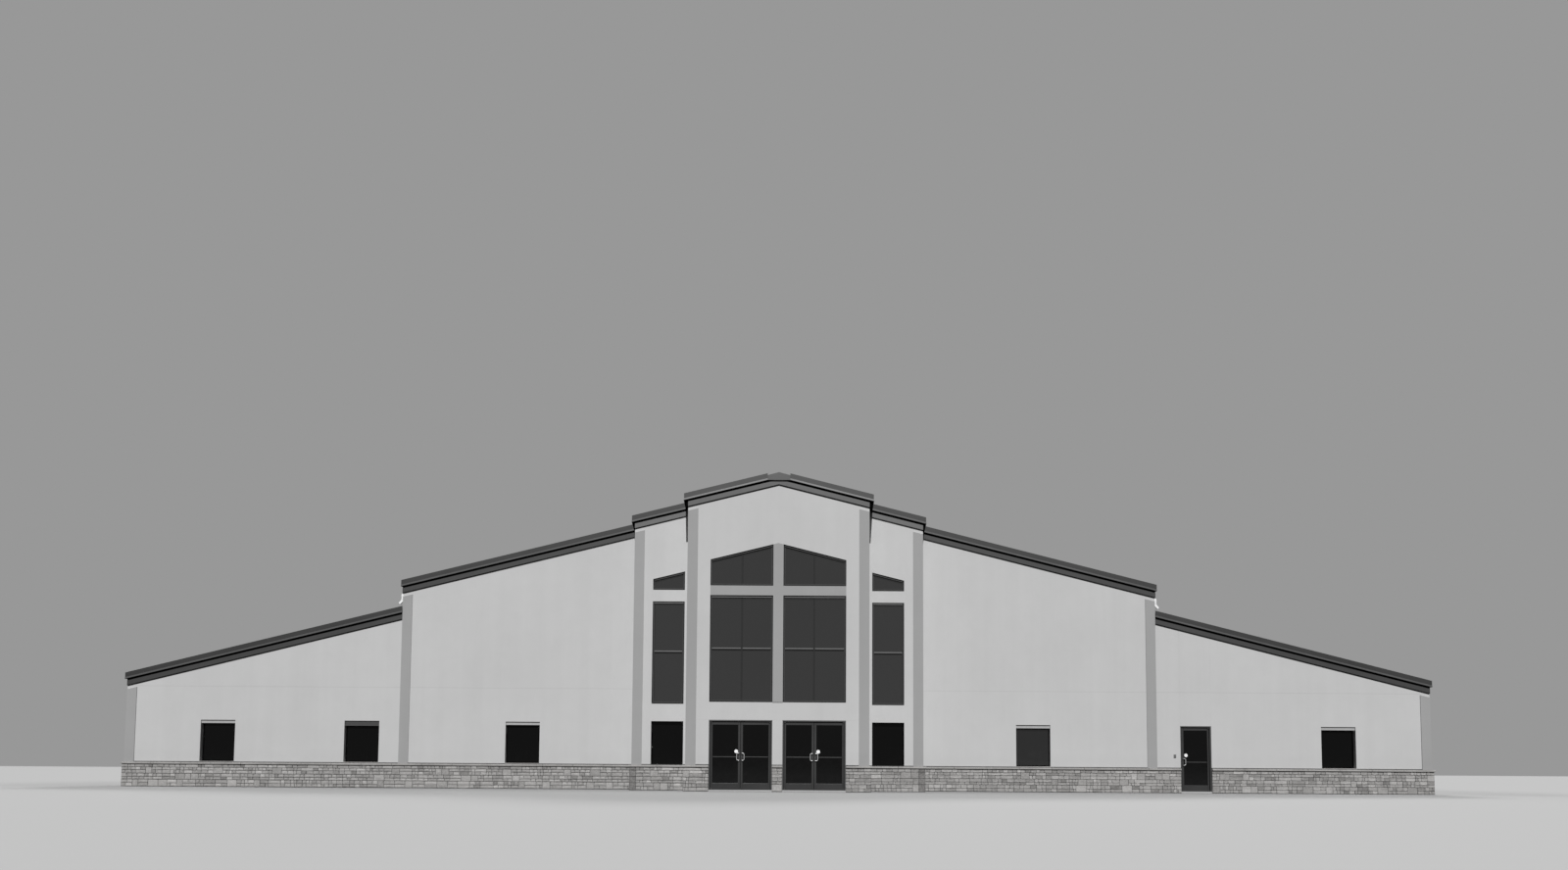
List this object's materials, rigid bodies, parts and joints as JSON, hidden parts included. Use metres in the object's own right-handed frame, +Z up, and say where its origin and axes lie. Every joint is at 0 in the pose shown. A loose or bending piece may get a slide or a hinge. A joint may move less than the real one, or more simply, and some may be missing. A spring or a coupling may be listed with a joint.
{
  "type": "modern church building, half-size scale model",
  "caption": "Low gabled church hall with lean-to wings, stepped entrance bays, tall glazing divided by a cross and hinged glass doors, at half of its real size.",
  "frame": {"origin": "on the ground under the middle of the whole building's plan, roof edges and entrance bays included", "axes": "+X to the right along the entrance front, +Y from the entrance front to the back, +Z up"},
  "size_m": [21.09, 19.658, 4.865],
  "materials": {
    "wall": "light grey sanded render, matt",
    "band": "mid grey sanded render, matt",
    "stone": "split-face stone veneer in mortar with a dressed cap",
    "slab": "trowelled concrete",
    "roof": "grey standing-seam sheet, satin",
    "fascia": "dark grey folded sheet, satin",
    "spout": "white folded sheet, satin",
    "frame": "dark anodised storefront section, satin",
    "glass": "grey tinted glass, polished"
  },
  "bodies": {
    "building": {"floor_slab": "slab", "front_wall_left": "wall", "front_wall_right": "wall", "front_wall_right_end": "wall", "front_wall_over_door": "wall", "flank_wall_left": "wall", "flank_wall_right": "wall", "centre_wall_left": "wall", "centre_wall_right": "wall", "centre_upper_wall": "wall", "centre_door_pier": "wall", "window_cross": "band", "side_wall_left": "wall", "side_wall_right": "wall", "clerestory_wall_left": "wall", "clerestory_wall_right": "wall", "back_wall": "wall", "hall_roof": "roof", "wing_roof_left": "roof", "wing_roof_right": "roof", "hall_fascia_left": "fascia", "hall_fascia_right": "fascia", "wing_fascia_left": "fascia", "wing_fascia_right": "fascia", "downspout_left": "spout", "downspout_right": "spout", "stone_base_left": "stone", "stone_base_right": "stone", "stone_base_right_inner": "stone", "stone_base_entry_left": "stone", "stone_base_entry_right": "stone", "stone_base_pier": "stone", "wing_corner_band_left": "band", "wing_corner_band_right": "band", "hall_corner_band_left": "band", "hall_corner_band_right": "band", "flank_corner_band_left": "band", "flank_corner_band_right": "band", "centre_corner_band_left": "band", "centre_corner_band_right": "band", "centre_glass": "glass", "flank_glass_left": "glass", "flank_glass_right": "glass", "front_glass_left": "glass", "hall_glass_right": "glass", "wing_glass_right": "glass", "side_glass_left": "glass", "side_glass_right": "glass", "back_glass": "glass", "entry_door_frame_left": "frame", "entry_door_frame_right": "frame", "wing_door_frame": "frame"},
    "left_pair_outer_leaf": {"entry_left_door_a": "frame"},
    "left_pair_inner_leaf": {"entry_left_door_b": "frame"},
    "right_pair_inner_leaf": {"entry_right_door_a": "frame"},
    "right_pair_outer_leaf": {"entry_right_door_b": "frame"},
    "wing_leaf": {"wing_door": "frame"}
  },
  "joints": [
    {"name": "left_outer_hinge", "type": "hinge", "parent": "building", "child": "left_pair_outer_leaf", "pos_m": [-1.00435, -9.746, 0.55], "axis": [0, 0, -1], "range_deg": [0, 90]},
    {"name": "left_inner_hinge", "type": "hinge", "parent": "building", "child": "left_pair_inner_leaf", "pos_m": [-0.10565, -9.746, 0.55], "axis": [0, 0, 1], "range_deg": [0, 90]},
    {"name": "right_inner_hinge", "type": "hinge", "parent": "building", "child": "right_pair_inner_leaf", "pos_m": [0.10565, -9.746, 0.55], "axis": [0, 0, -1], "range_deg": [0, 90]},
    {"name": "right_outer_hinge", "type": "hinge", "parent": "building", "child": "right_pair_outer_leaf", "pos_m": [1.00435, -9.746, 0.55], "axis": [0, 0, 1], "range_deg": [0, 90]},
    {"name": "wing_hinge", "type": "hinge", "parent": "building", "child": "wing_leaf", "pos_m": [6.94185, -8.496, 0.55], "axis": [0, 0, 1], "range_deg": [0, 90]}
  ]
}
